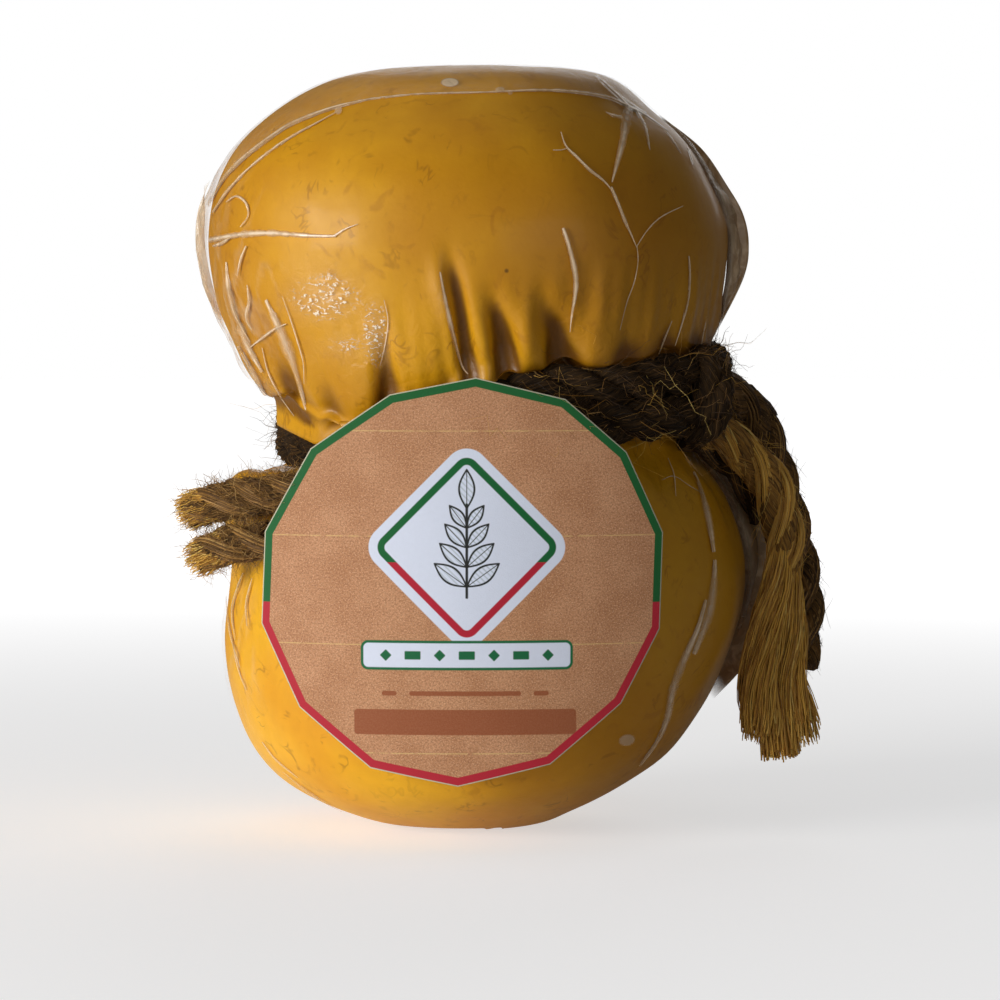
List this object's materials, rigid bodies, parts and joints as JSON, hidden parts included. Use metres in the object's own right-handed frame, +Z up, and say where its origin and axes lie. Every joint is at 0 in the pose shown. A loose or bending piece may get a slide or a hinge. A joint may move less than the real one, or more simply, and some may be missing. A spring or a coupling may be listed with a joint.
{
  "type": "smoked scamorza",
  "caption": "Smoked scamorza in clear shrink film, a two-bellied cheese tied round its waist with jute rope, with a fourteen-sided label on its front.",
  "frame": {"origin": "middle of the small flat spot that the cheese stands on", "axes": "+Z up through both bellies, -Y towards the label, +X towards the hanging rope ends"},
  "size_m": [0.0793, 0.0632, 0.0943],
  "materials": {
    "smoked_cheese": "gloss",
    "clear_film": "gloss",
    "jute_rope": "matte",
    "label_paper": "matte"
  },
  "bodies": {
    "root": {"wrapped_cheese": "smoked_cheese", "waist_rope": "jute_rope", "front_tail": "jute_rope", "rear_tail": "jute_rope", "upper_stub": "jute_rope", "lower_stub": "jute_rope", "label": "label_paper"}
  },
  "joints": []
}
